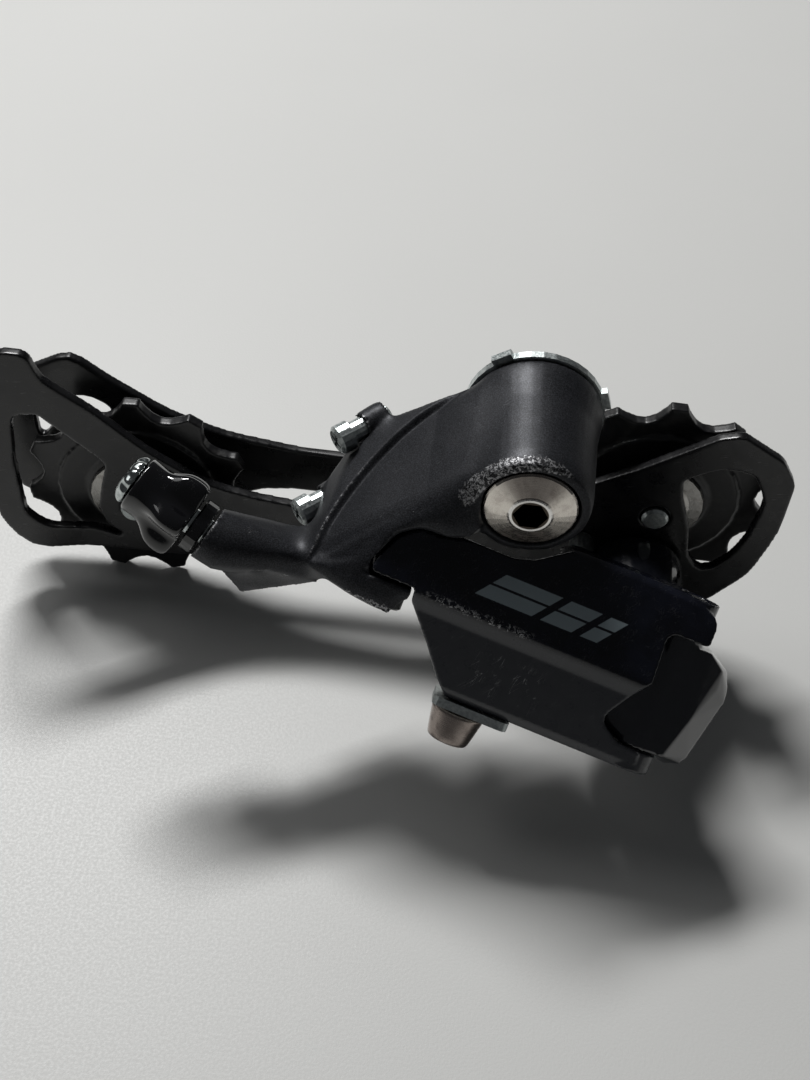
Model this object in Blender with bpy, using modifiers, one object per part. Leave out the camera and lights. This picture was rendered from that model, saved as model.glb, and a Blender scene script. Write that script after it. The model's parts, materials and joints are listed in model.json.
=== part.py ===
"""Rear bicycle derailleur: a nine-speed, long-cage road derailleur as separate solids.

Frame: the origin is where the mounting bolt's axis meets the frame hanger's outer face.
+X points forward on the bike, +Y inboard along the mounting bolt, +Z up. The rest pose is
the high-gear end of the parallelogram with the cage swung back against its stop.
All numbers below are millimetres, and MM turns them into metres.
"""
import math

import bmesh
import bpy
from mathutils import Matrix, Vector

MM = 0.001
GAP = 0.3                      # clearance between touching pieces

# Mounting bolt and housing, along the bolt's axis (outboard is positive height here)
HOUSING_LENGTH = 25.4
HOUSING_RADIUS_FRONT = 10.1
HOUSING_RADIUS_BACK = 11.8
BOLT_HEAD_RADIUS = 7.7
STOPPER_RADIUS = 12.0
STOPPER_THICKNESS = 1.4

# Parallelogram: both links turn about LINK_AXIS, which leans in and up
LINK_AXIS = Vector((0.27, 0.60, 0.75)).normalized()
LINK_RUN = Vector((0.96, -0.19, -0.19))
LINK_DIR = (LINK_RUN - LINK_AXIS * LINK_RUN.dot(LINK_AXIS)).normalized()
LINK_IN = LINK_AXIS.cross(LINK_DIR)
LINK_ORIGIN = Vector((-20.0, -27.0, -19.3))
LINK_LENGTH = 47.0
PIN_SPREAD_U = -6.0            # inner pins from outer pins, along the link
PIN_SPREAD_W = 11.5            # and inboard
PIN_RADIUS = 2.2
PIN_BORE = PIN_RADIUS + GAP

# Cage, in the plane of the pulleys
PIVOT_P = Vector((23.5, 0.0, -37.0))
GUIDE = Vector((25.3, 0.0, -23.4))
TENSION = Vector((-70.7, 0.0, -36.7))
PULLEY_Y = 6.5
PLATE_OUTER_Y = (0.2, 2.1)
PLATE_INNER_Y = (10.9, 12.7)
TEETH = 11
CHAIN_PITCH = 12.7
PITCH_RADIUS = CHAIN_PITCH / 2 / math.sin(math.pi / TEETH)
TIP_RADIUS = 21.6
ROOT_RADIUS = PITCH_RADIUS - 4.3

# Barrel adjuster
BARREL_SEAT = Vector((-52.8, -24.0, -14.6))
BARREL_DIR = Vector((-0.866, 0.268, 0.423)).normalized()
KNOB_RADIUS = 7.6
KNOB_VALLEY = 5.1
KNOB_LOBES = 5
KNOB_TURN = 0.35

# Screws that stop the parallelogram and set the body angle
LIMIT_DIR = Vector((-0.78, -0.60, -0.18)).normalized()
LIMIT_HIGH = Vector((-29.8, -6.0, -4.9))
LIMIT_LOW = Vector((-35.4, -11.2, -18.1))
TONGUE_ANGLE = math.radians(200)

for old in list(bpy.data.objects):
    bpy.data.objects.remove(old)


def collection(name):
    """Return a new collection linked to the scene."""
    made = bpy.data.collections.new(name)
    bpy.context.scene.collection.children.link(made)
    return made


PARTS = collection("rear_derailleur")
GUIDES = collection("pivots")


def frame(origin, z_axis, x_hint=Vector((1, 0, 0))):
    """Return a placing matrix with local Z along z_axis and local X near x_hint."""
    z_dir = z_axis.normalized()
    x_dir = (x_hint - z_dir * x_hint.dot(z_dir)).normalized()
    y_dir = z_dir.cross(x_dir)
    turn = Matrix((x_dir, y_dir, z_dir)).transposed().to_4x4()
    return Matrix.Translation(origin * MM) @ turn


OUTBOARD = Vector((0, -1, 0))
B_FRAME = frame(Vector((0, 0, 0)), OUTBOARD)
P_FRAME = frame(PIVOT_P, OUTBOARD)
LINK_FRAME = frame(LINK_ORIGIN, LINK_AXIS, LINK_DIR)


def link_point(u, w, v):
    """World point, mm, from link coordinates: along, inboard and up the pin axis."""
    return LINK_ORIGIN + LINK_DIR * u + LINK_IN * w + LINK_AXIS * v


B_OUTER_PIN = link_point(0, 0, 0)
B_INNER_PIN = link_point(PIN_SPREAD_U, PIN_SPREAD_W, 0)
P_OUTER_PIN = link_point(LINK_LENGTH, 0, 0)
P_INNER_PIN = link_point(LINK_LENGTH + PIN_SPREAD_U, PIN_SPREAD_W, 0)


def around_bolt(radial, sideways, height):
    """World point, mm, on the stop tongue's own radius; sideways is downward there."""
    radius_dir = Vector((math.cos(TONGUE_ANGLE), 0, math.sin(TONGUE_ANGLE)))
    side_dir = Vector((-math.sin(TONGUE_ANGLE), 0, math.cos(TONGUE_ANGLE)))
    return radius_dir * radial + side_dir * sideways + Vector((0, -height, 0))


ANGLE_SCREW = around_bolt(14.3, 9.9, 2.9)
ANGLE_SCREW_DIR = around_bolt(0, 1, 0)


def material(name, colour, metallic, roughness):
    """Return a Principled material."""
    made = bpy.data.materials.new(name)
    made.use_nodes = True
    shader = made.node_tree.nodes["Principled BSDF"]
    shader.inputs["Base Color"].default_value = (*colour, 1)
    shader.inputs["Metallic"].default_value = metallic
    shader.inputs["Roughness"].default_value = roughness
    return made


MATERIALS = {
    "satin_black_alloy": material("satin_black_alloy", (0.035, 0.036, 0.042), 0.55, 0.42),
    "gloss_blue_black": material("gloss_blue_black", (0.015, 0.018, 0.030), 0.4, 0.25),
    "black_steel_plate": material("black_steel_plate", (0.02, 0.02, 0.022), 0.2, 0.38),
    "zinc_steel": material("zinc_steel", (0.62, 0.63, 0.62), 1.0, 0.30),
    "nickel_steel": material("nickel_steel", (0.55, 0.52, 0.49), 1.0, 0.26),
    "spring_steel": material("spring_steel", (0.35, 0.35, 0.36), 1.0, 0.35),
    "pulley_resin": material("pulley_resin", (0.018, 0.018, 0.02), 0.0, 0.5),
    "gloss_black_plastic": material("gloss_black_plastic", (0.012, 0.012, 0.014), 0.0, 0.15),
    "bush_polymer": material("bush_polymer", (0.12, 0.11, 0.10), 0.0, 0.5),
    "seal_rubber": material("seal_rubber", (0.03, 0.012, 0.010), 0.0, 0.6),
}


def add_mesh(name, mesh, place):
    """Make an object from a mesh in metres, with its faces turned outward."""
    work = bmesh.new()
    work.from_mesh(mesh)
    bmesh.ops.remove_doubles(work, verts=work.verts, dist=2e-6)
    bmesh.ops.dissolve_degenerate(work, edges=work.edges, dist=1e-6)
    bmesh.ops.recalc_face_normals(work, faces=work.faces)
    if work.calc_volume(signed=True) < 0:
        bmesh.ops.reverse_faces(work, faces=work.faces)
    work.to_mesh(mesh)
    work.free()
    made = bpy.data.objects.new(name, mesh)
    made.matrix_world = place
    PARTS.objects.link(made)
    return made


def settle(made):
    """Turn an object's modifiers or curve into a plain mesh, keeping its place."""
    bpy.context.view_layer.update()
    evaluated = made.evaluated_get(bpy.context.evaluated_depsgraph_get())
    mesh = bpy.data.meshes.new_from_object(evaluated)
    name, place = made.name, made.matrix_world.copy()
    bpy.data.objects.remove(made)
    return add_mesh(name, mesh, place)


def turned(name, profile, place, steps=40):
    """Turn a closed outline of (radius, height) about the placing frame's Z axis."""
    mesh = bpy.data.meshes.new(name)
    points = [(radius * MM, 0.0, height * MM) for radius, height in profile]
    on_axis = profile[0][0] == 0 and profile[-1][0] == 0
    count = len(points)
    edges = [(i, (i + 1) % count) for i in range(count - 1 if on_axis else count)]
    mesh.from_pydata(points, edges, [])
    made = bpy.data.objects.new(name, mesh)
    made.matrix_world = place
    PARTS.objects.link(made)
    screw = made.modifiers.new("turn", "SCREW")
    screw.axis = "Z"
    screw.steps = steps
    screw.render_steps = steps
    screw.use_merge_vertices = True
    screw.merge_threshold = 1e-6
    screw.use_normal_calculate = True
    return settle(made)


def ring(name, outer, inner, low, high, place, chamfer=0.0, steps=40):
    """A plain ring or tube between two heights, with its outer edges chamfered."""
    profile = [(inner, high), (outer - chamfer, high)]
    if chamfer:
        profile.append((outer, high - chamfer))
        profile.append((outer, low + chamfer))
    profile += [(outer - chamfer, low), (inner, low)]
    return turned(name, profile, place, steps)


def rod(name, radius, low, high, place, chamfer=0.0, steps=32):
    """A solid cylinder between two heights."""
    profile = [(0, high), (radius - chamfer, high)]
    if chamfer:
        profile.append((radius, high - chamfer))
        profile.append((radius, low + chamfer))
    profile += [(radius - chamfer, low), (0, low)]
    return turned(name, profile, place, steps)


def rounded(corners, steps=4):
    """Outline points from (x, y, radius) corners, each corner an arc."""
    points = []
    count = len(corners)
    for index, (x, y, radius) in enumerate(corners):
        here = Vector((x, y))
        before = Vector(corners[index - 1][:2]) - here
        after = Vector(corners[(index + 1) % count][:2]) - here
        if radius <= 0:
            points.append((x, y))
            continue
        half = before.angle(after) / 2
        reach = min(radius / math.tan(half), before.length * 0.48, after.length * 0.48)
        arc_radius = reach * math.tan(half)
        centre = here + (before.normalized() + after.normalized()).normalized() * (
            arc_radius / math.sin(half))
        start = here + before.normalized() * reach - centre
        end = here + after.normalized() * reach - centre
        sweep = math.atan2(start.x * end.y - start.y * end.x, start.dot(end))
        for step in range(steps + 1):
            turn = sweep * step / steps
            spoke = Vector((start.x * math.cos(turn) - start.y * math.sin(turn),
                            start.x * math.sin(turn) + start.y * math.cos(turn)))
            points.append(tuple(centre + spoke))
    return points


def circle(centre, radius, steps=24):
    """Outline points of a circle."""
    return [(centre[0] + radius * math.cos(math.tau * i / steps),
             centre[1] + radius * math.sin(math.tau * i / steps)) for i in range(steps)]


def slab(name, outlines, low, high, place):
    """Extrude flat outlines, the first solid and the rest holes, between two heights."""
    curve = bpy.data.curves.new(name, "CURVE")
    curve.dimensions = "2D"
    curve.fill_mode = "BOTH"
    curve.extrude = (high - low) / 2 * MM
    for outline in outlines:
        spline = curve.splines.new("POLY")
        spline.points.add(len(outline) - 1)
        for point, (x, y) in zip(spline.points, outline):
            point.co = (x * MM, y * MM, 0, 1)
        spline.use_cyclic_u = True
    made = bpy.data.objects.new(name, curve)
    made.matrix_world = place @ Matrix.Translation((0, 0, (high + low) / 2 * MM))
    PARTS.objects.link(made)
    return settle(made)


def box(name, low, high, place):
    """A box between two corners of the placing frame."""
    outline = [(low[0], low[1]), (high[0], low[1]), (high[0], high[1]), (low[0], high[1])]
    return slab(name, [outline], low[2], high[2], place)


def hull(name, points):
    """The convex hull of world points, in mm."""
    work = bmesh.new()
    for point in points:
        work.verts.new(Vector(point) * MM)
    result = bmesh.ops.convex_hull(work, input=work.verts)
    spare = {item for item in result["geom_interior"] + result["geom_unused"]
             if isinstance(item, bmesh.types.BMVert)}
    bmesh.ops.delete(work, geom=list(spare), context="VERTS")
    mesh = bpy.data.meshes.new(name)
    work.to_mesh(mesh)
    work.free()
    return add_mesh(name, mesh, Matrix.Identity(4))


def rim(centre, axis, radius, steps=16, start=0.0, sweep=360.0):
    """World points on an arc about an axis, in mm; angles in degrees from local X."""
    place = frame(Vector((0, 0, 0)), axis).to_3x3()
    count = steps if sweep == 360.0 else steps + 1
    points = []
    for index in range(count):
        angle = math.radians(start + sweep * index / steps)
        points.append(centre + place @ Vector((math.cos(angle), math.sin(angle), 0)) * radius)
    return points


def combine(target, others, operation):
    """Join other objects to a target, or cut them from it, and keep one mesh."""
    for other in others:
        boolean = target.modifiers.new(operation.lower(), "BOOLEAN")
        boolean.operation = operation
        boolean.solver = "EXACT"
        boolean.object = other
        target = settle(target)
        bpy.data.objects.remove(other)
    return target


def join(target, *others):
    """Unite solids."""
    return combine(target, others, "UNION")


def cut(target, *others):
    """Cut solids away."""
    return combine(target, others, "DIFFERENCE")


def overlap(target, other):
    """Keep what two solids share."""
    return combine(target, [other], "INTERSECT")


def bore(target, place, radius, low, high, steps=24):
    """Drill a round hole."""
    return cut(target, rod("drill", radius, low, high, place, steps=steps))


def socket(target, place, flats, top, depth):
    """Sink a hexagonal key socket from a height."""
    tool = rod("key", flats / math.sqrt(3), top - depth, top + 1, place, steps=6)
    return cut(target, tool)


def cross_slot(target, place, top, reach, width, depth):
    """Sink a cross-head recess from a height."""
    half = width / 2
    first = box("slot", (-reach, -half, top - depth), (reach, half, top + 1), place)
    second = box("slot", (-half, -reach, top - depth), (half, reach, top + 1), place)
    return cut(target, join(first, second))


def coil(name, radius, wire, low, high, turns, place, per_turn=10):
    """A round-wire coil spring about the placing frame's Z axis."""
    curve = bpy.data.curves.new(name, "CURVE")
    curve.dimensions = "3D"
    curve.bevel_depth = wire / 2 * MM
    curve.bevel_resolution = 1
    curve.use_fill_caps = True
    count = int(turns * per_turn) + 1
    spline = curve.splines.new("POLY")
    spline.points.add(count - 1)
    for index, point in enumerate(spline.points):
        share = index / (count - 1)
        angle = math.tau * turns * share
        height = low + (high - low) * share
        point.co = (radius * math.cos(angle) * MM, radius * math.sin(angle) * MM, height * MM, 1)
    made = bpy.data.objects.new(name, curve)
    made.matrix_world = place
    PARTS.objects.link(made)
    return settle(made)


def finish(made, name, slot, pivot=None):
    """Name a part, give it its material and hang it on its pivot."""
    made.name = name
    made.data.name = name
    made.data.materials.clear()
    made.data.materials.append(MATERIALS[slot])
    made.data.shade_smooth()
    made.data.set_sharp_from_angle(angle=math.radians(32))
    if pivot:
        made.parent = pivot
        made.matrix_parent_inverse = pivot.matrix_world.inverted()
    return made


def pivot(name, place, parent=None):
    """An empty on a joint's axis."""
    made = bpy.data.objects.new(name, None)
    made.empty_display_size = 0.01
    GUIDES.objects.link(made)
    made.matrix_world = place
    bpy.context.view_layer.update()
    if parent:
        made.parent = parent
        made.matrix_parent_inverse = parent.matrix_world.inverted()
        bpy.context.view_layer.update()
    return made


BARREL_FRAME = frame(BARREL_SEAT, BARREL_DIR)
CLAMP_FRAME = frame(link_point(17.9, 0.9, 0), -LINK_AXIS, LINK_DIR)
TURN_B = pivot("b_pivot_axis", B_FRAME)
TURN_BARREL = pivot("barrel_axis", BARREL_FRAME, TURN_B)
TURN_OUTER = pivot("outer_link_axis", LINK_FRAME, TURN_B)
TURN_INNER = pivot("inner_link_axis", frame(B_INNER_PIN, LINK_AXIS, LINK_DIR), TURN_B)
TURN_KNUCKLE = pivot("knuckle_axis", frame(P_OUTER_PIN, LINK_AXIS, LINK_DIR), TURN_OUTER)
TURN_CAGE = pivot("cage_axis", P_FRAME, TURN_KNUCKLE)
TURN_CLAMP = pivot("cable_bolt_axis", CLAMP_FRAME, TURN_OUTER)


def make_mounting_group():
    """Hanger stop plate, bush, bolt and seal on the mounting axis."""
    lobes = [circle((0, 0), STOPPER_RADIUS, 36), circle((0, 0), 5.4, 20)]
    plate = slab("plate", lobes, 0, STOPPER_THICKNESS, B_FRAME)
    for angle in (19, 123):
        spoke = B_FRAME @ Matrix.Rotation(math.radians(angle), 4, "Z")
        plate = join(plate, box("tab", (10.5, -1.8, 0), (12.9, 1.8, STOPPER_THICKNESS), spoke))
    tongue = B_FRAME @ Matrix.Rotation(TONGUE_ANGLE, 4, "Z")
    plate = join(plate, box("arm", (10.5, -3, 0), (15.5, 3.5, STOPPER_THICKNESS), tongue))
    plate = join(plate, box("stop", (14.0, -0.4, -4.0), (15.5, 3.5, 1.0), tongue))
    finish(plate, "hanger_stop_plate", "zinc_steel")
    finish(ring("bush", 5.9, 4.3, 2.3, 21.6, B_FRAME, 0, 24), "mounting_bush", "bush_polymer")
    bolt = turned("bolt", [
        (0, 26.7), (3.4, 26.7), (3.8, 26.45), (7.4, 25.35), (BOLT_HEAD_RADIUS, 25.0),
        (BOLT_HEAD_RADIUS, 23.0), (4.0, 22.9), (4.0, 0.2), (4.9, -0.4),
        (4.9, -6.0), (4.4, -6.5), (0, -6.5)], B_FRAME, 30)
    bolt = socket(bolt, B_FRAME, 5.0, 26.7, 6.0)
    finish(bolt, "mounting_bolt", "nickel_steel")
    seal = turned("seal", [(6.5, 22.6), (7.5, 22.6), (7.5, 22.25), (6.5, 22.25)], B_FRAME, 22)
    finish(seal, "mounting_seal", "seal_rubber", TURN_B)


def make_bracket():
    """The cast body: bolt housing, web over the links, pin lugs and cable arm."""
    body = turned("housing", [
        (8.1, HOUSING_LENGTH - 0.3), (8.5, HOUSING_LENGTH), (9.8, HOUSING_LENGTH),
        (HOUSING_RADIUS_FRONT, HOUSING_LENGTH - 0.5), (10.4, 18), (10.8, 9),
        (HOUSING_RADIUS_BACK, 2.3), (HOUSING_RADIUS_BACK - 0.4, 1.75), (4.6, 1.75), (4.6, 21.9),
        (8.1, 21.9)], B_FRAME, 40)
    front_arc = rim(Vector((0, -22.4, 0)), OUTBOARD, 9.6, 8, 72, 150)
    back_arc = rim(Vector((0, -3.0, 0)), OUTBOARD, 11.3, 8, 72, 160)
    upper_edge = [(-14.8, -4.5, 4.4), (-22.5, -4.0, -1.4), (-28.6, -4.5, -4.6),
                  (-22.3, -8.0, -1.8), (-25.9, -12.0, -5.4), (-29.7, -14.0, -10.0),
                  (-32.8, -17.0, -12.4), (-34.6, -24.0, -12.8)]
    rear_edge = [(-31.2, -8.0, -9.0), (-33.7, -8.0, -12.9), (-34.9, -9.0, -17.5),
                 (-36.0, -12.5, -21.0), (-19.0, -5.0, -15.0), (-12.0, -5.0, -11.0)]
    foot = [link_point(u, w, v) for u, w, v in (
        (-15.4, -3.2, -2.5), (-6.7, -5.8, -3.9), (0.6, -5.8, -4.6), (2.4, -5.4, -1.0),
        (-7.5, -6.6, 2.5), (-4.8, -7.0, 8.0), (0.0, -6.8, 12.4), (5.0, -6.0, 13.2),
        (-15.0, 12.0, -3.0), (-6.0, 16.6, -4.4), (-9.0, 16.6, 8.0))]
    web = hull("web", front_arc + back_arc + upper_edge + rear_edge + foot)
    body = join(body, web)
    for u, w in ((0, 0), (PIN_SPREAD_U, PIN_SPREAD_W)):
        lug = frame(link_point(u, w, 0), LINK_AXIS, LINK_DIR)
        body = join(body, rod("lug", 5.1, 11.45, 15.8, lug, steps=20))
    arm_root = [(-33.5, -17.5, -18.5), (-34.5, -26.5, -15.5), (-34.0, -14.0, -22.0),
                (-33.5, -27.0, -20.5), (-31.5, -20.0, -21.5)]
    boss = rim(BARREL_SEAT - BARREL_DIR * 0.5, BARREL_DIR, 4.9, 16)
    boss += rim(BARREL_SEAT - BARREL_DIR * 4.5, BARREL_DIR, 5.2, 16)
    body = join(body, hull("arm", boss + [Vector(point) for point in arm_root]))
    fin = [(-53.8, -24.6, -18.8), (-53.2, -22.6, -18.6), (-46.9, -25.2, -28.6),
           (-46.9, -22.8, -28.6), (-33.0, -27.0, -21.5), (-33.0, -23.0, -23.5),
           (-36.0, -26.0, -15.5), (-36.0, -22.0, -15.5), (-50.0, -24.8, -15.0),
           (-50.0, -22.4, -15.0)]
    body = join(body, hull("fin", fin))
    for point in (LIMIT_HIGH, LIMIT_LOW):
        lobe = rim(point - LIMIT_DIR * 1.4, LIMIT_DIR, 2.6, 14)
        lobe += rim(point - LIMIT_DIR * 6.0, LIMIT_DIR, 3.0, 14)
        body = join(body, hull("lobe", lobe))
    lug = rim(ANGLE_SCREW - ANGLE_SCREW_DIR * 0.9, ANGLE_SCREW_DIR, 3.2, 14)
    lug += rim(ANGLE_SCREW - ANGLE_SCREW_DIR * 5.2, ANGLE_SCREW_DIR, 3.2, 14)
    root = Vector((-1.0, -3.5, 0.0))
    lug += [point + root for point in lug]
    body = join(body, hull("lug", lug))

    low, high = 1.35, 11.45
    front = LINK_FRAME @ Matrix.Rotation(math.pi / 2, 4, "X")
    opening = [(-5.3, low), (-5.3, 3.8), (-3.0, 9.0), (0.2, high), (4.9, high), (7.4, 12.7),
               (16.2, 12.7), (19.3, 13.6), (25.2, 18.0), (70, 18.0), (70, low)]
    body = cut(body, slab("link_space", [opening], -7.0, 40, front),
               rod("boss_space", 5.1, low, high, LINK_FRAME, steps=24),
               box("inner_space", (-11.4, 6.0, low), (70, 50, high), LINK_FRAME),
               box("foot_end", (2.6, -40, -30), (70, 60, low + 1), LINK_FRAME))
    body = bore(body, B_FRAME, 9.0, -1, 20.1, 32)
    body = bore(body, B_FRAME, 6.2, -1, 22.6, 24)
    body = bore(body, B_FRAME, 8.0, 22.2, 30, 36)
    for u, w in ((0, 0), (PIN_SPREAD_U, PIN_SPREAD_W)):
        lug = frame(link_point(u, w, 0), LINK_AXIS, LINK_DIR)
        body = bore(body, lug, PIN_BORE, -20, 16.3, 20)
    body = bore(body, BARREL_FRAME, 2.8, -4.9, 3, 20)
    body = bore(body, BARREL_FRAME, 1.4, -30, 3, 12)
    for point, direction, depth in ((LIMIT_HIGH, LIMIT_DIR, 7.2), (LIMIT_LOW, LIMIT_DIR, 8.2),
                                    (ANGLE_SCREW, ANGLE_SCREW_DIR, 12.0)):
        screw = frame(point, direction)
        body = bore(body, screw, 2.25, -depth, 6, 16)
        body = bore(body, screw, 3.0, 0.85, 8, 20)
    finish(body, "bracket_body", "satin_black_alloy", TURN_B)
    spring = coil("spring", 7.5, 1.8, 3.6, 18.6, 4.5, B_FRAME)
    finish(spring, "mounting_spring", "spring_steel", TURN_B)


def make_pins():
    """Four link pins."""
    for name, centre, low, high, holder in (
            ("bracket_outer_pin", B_OUTER_PIN, -4.0, 15.6, TURN_B),
            ("bracket_inner_pin", B_INNER_PIN, -4.0, 15.6, TURN_B),
            ("knuckle_outer_pin", P_OUTER_PIN, -13.9, 17.2, TURN_KNUCKLE),
            ("knuckle_inner_pin", P_INNER_PIN, -10.4, -0.8, TURN_KNUCKLE)):
        place = frame(centre, LINK_AXIS, LINK_DIR)
        finish(rod("pin", PIN_RADIUS, low, high, place, 0.3, 16), name, "spring_steel", holder)


def make_screws():
    """Two limit screws and the body-angle screw, each a pan head on a threaded shank."""
    for name, point, direction, length in (
            ("limit_screw_high", LIMIT_HIGH, LIMIT_DIR, 6.2),
            ("limit_screw_low", LIMIT_LOW, LIMIT_DIR, 7.2),
            ("body_angle_screw", ANGLE_SCREW, ANGLE_SCREW_DIR, 5.5)):
        place = frame(point, direction)
        holder = pivot(name + "_axis", place, TURN_B)
        screw = turned("screw", [
            (0, 4.0), (2.0, 4.0), (2.6, 3.5), (2.6, 1.2), (1.95, 1.1), (1.95, -length),
            (1.4, -length - 0.5), (0, -length - 0.5)], place, 16)
        screw = cross_slot(screw, place, 4.0, 1.5, 0.7, 1.2)
        finish(screw, name, "zinc_steel", holder)


def make_barrel():
    """Cable barrel adjuster: hollow bolt, star knob and its spring sleeve."""
    bolt = turned("bolt", [
        (1.3, 15.3), (2.8, 15.3), (2.9, 14.9), (3.8, 14.7), (3.9, 14.2), (3.6, 13.9), (2.4, 13.8),
        (2.4, -4.0), (1.3, -4.0)], BARREL_FRAME, 24)
    finish(bolt, "barrel_bolt", "zinc_steel", TURN_BARREL)
    star = []
    for index in range(KNOB_LOBES * 6):
        angle = math.tau * index / (KNOB_LOBES * 6)
        wave = 0.5 + 0.5 * math.cos(angle * KNOB_LOBES)
        radius = KNOB_VALLEY + (KNOB_RADIUS - KNOB_VALLEY) * wave ** 0.6
        star.append((radius * math.cos(angle + KNOB_TURN), radius * math.sin(angle + KNOB_TURN)))
    knob = slab("knob", [star], 3.0, 8.8, BARREL_FRAME)
    knob = bore(knob, BARREL_FRAME, 4.0, 2, 10, 20)
    sleeve = turned("sleeve", [
        (2.7, 13.5), (4.1, 13.5), (4.6, 12.9), (5.5, 9.0), (5.0, 6.0), (4.9, 2.75), (2.7, 2.75)],
        BARREL_FRAME, 24)
    knob = join(knob, sleeve)
    finish(knob, "barrel_knob", "gloss_black_plastic", TURN_BARREL)
    washer = ring("washer", 4.7, 2.7, 0.0, 2.45, BARREL_FRAME, 0.3, 24)
    finish(washer, "barrel_detent_sleeve", "gloss_black_plastic", TURN_B)


def make_outer_link():
    """The glossy cover link, a bent channel with a boss for one pin and ears for the other."""
    length = LINK_LENGTH
    side = LINK_FRAME @ Matrix.Rotation(math.pi / 2, 4, "Y") @ Matrix.Rotation(math.pi / 2, 4, "Z")
    section = [(4.0, 17.5), (-3.4, 17.5), (-4.6, 16.6), (-7.5, 1.6), (-7.3, 0.9), (-5.9, -1.6),
               (-4.3, -12.4), (-3.3, -13.9), (4.0, -13.9), (4.0, -12.1), (-2.3, -12.1),
               (-4.0, -1.4), (-5.6, 1.4), (-3.1, 15.7), (4.0, 15.7)]
    cover = slab("cover", [section], -6.0, 56.0, side)
    outline = rounded([
        (-4.8, 1.7, 0.8), (-4.8, 3.7, 2), (-2.5, 8.8, 6), (0.4, 11.1, 3), (4.6, 11.1, 2),
        (7.5, 12.2, 2), (16.0, 12.2, 4), (19.5, 13.2, 4), (25.3, 17.3, 3), (length - 1.5, 17.6, 4),
        (length + 4.4, 15.4, 2.5), (length + 4.4, 10.7, 0.8),
        (44.3, 10.7, 1.5), (44.8, 2.0, 1.2), (43.2, -0.5, 2), (39.6, -7.2, 2),
        (44.0, -9.9, 1), (length + 0.9, -9.9, 0.3), (length + 0.9, -14.4, 0.5),
        (20.9, -14.4, 3), (15.0, -14.3, 2), (12.0, -11.3, 2), (8.2, -6.4, 6), (3.2, -0.6, 1.5),
        (3.0, 1.7, 0.3)], 3)
    front = LINK_FRAME @ Matrix.Rotation(math.pi / 2, 4, "X")
    cover = overlap(cover, slab("outline", [outline], -6, 10, front))
    cover = join(cover, rod("boss", 4.7, 1.7, 11.1, LINK_FRAME, steps=24),
                 box("root", (0.5, -5.5, 2.2), (13, -1.5, 10.9), LINK_FRAME))
    end = frame(P_OUTER_PIN, LINK_AXIS, LINK_DIR)
    cover = join(cover, rod("ear", 4.3, 12.0, 17.3, end, steps=24),
                 rod("ear", 4.3, -13.7, -10.1, end, steps=24))
    cover = bore(cover, end, 4.75, -10.05, 11.95)
    cover = bore(cover, LINK_FRAME, PIN_BORE, 0, 13, 20)
    cover = bore(cover, end, PIN_BORE, -20, 20, 20)
    cover = bore(cover, CLAMP_FRAME, 2.6, 9.5, 17, 20)
    finish(cover, "outer_link", "gloss_blue_black", TURN_OUTER)
    clamp = slab("clamp", [rounded([(-5.0, -4.6, 1.5), (8.4, -4.6, 1.5), (8.4, 5.0, 1.5),
                                    (-5.0, 5.0, 1.5)], 3), circle((0, 0), 2.7, 20)],
                 14.2, 15.7, CLAMP_FRAME)
    finish(clamp, "cable_clamp_plate", "zinc_steel", TURN_OUTER)
    bolt = turned("bolt", [(0, 21.7), (3.2, 21.7), (3.9, 21.0), (4.5, 16.9), (4.7, 16.0),
                           (2.3, 16.0), (2.3, 7.5), (0, 7.5)], CLAMP_FRAME, 6)
    bolt = socket(bolt, CLAMP_FRAME, 4.0, 21.7, 2.5)
    finish(bolt, "cable_fixing_bolt", "nickel_steel", TURN_CLAMP)


def make_inner_link():
    """The hidden inner link: a barrel at the bracket and a fork at the knuckle."""
    start = frame(B_INNER_PIN, LINK_AXIS, LINK_DIR)
    end = frame(P_INNER_PIN, LINK_AXIS, LINK_DIR)
    link = rod("barrel", 4.2, 1.7, 11.1, start, steps=20)
    fork = (("ear", -10.5, -7.8), ("ear", -3.2, -0.6))
    link = join(link, *[rod(name, 3.8, low, high, end, steps=20) for name, low, high in fork])
    bar = [(1.0, 2.2), (1.0, 10.8), (8.0, 10.8), (30.0, 4.0), (LINK_LENGTH - 1.0, -0.7),
           (LINK_LENGTH - 1.0, -10.4), (LINK_LENGTH - 8.0, -10.4), (20.0, -4.0), (11.0, 2.2)]
    front = start @ Matrix.Rotation(math.pi / 2, 4, "X")
    link = join(link, slab("bar", [bar], -1.5, 1.5, front))
    link = cut(link, rod("knuckle_space", 5.0, -7.8, -3.2, end, steps=24))
    link = bore(link, start, PIN_BORE, 0, 13, 20)
    link = bore(link, end, PIN_BORE, -12, 2, 20)
    finish(link, "inner_link", "satin_black_alloy", TURN_INNER)


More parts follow.
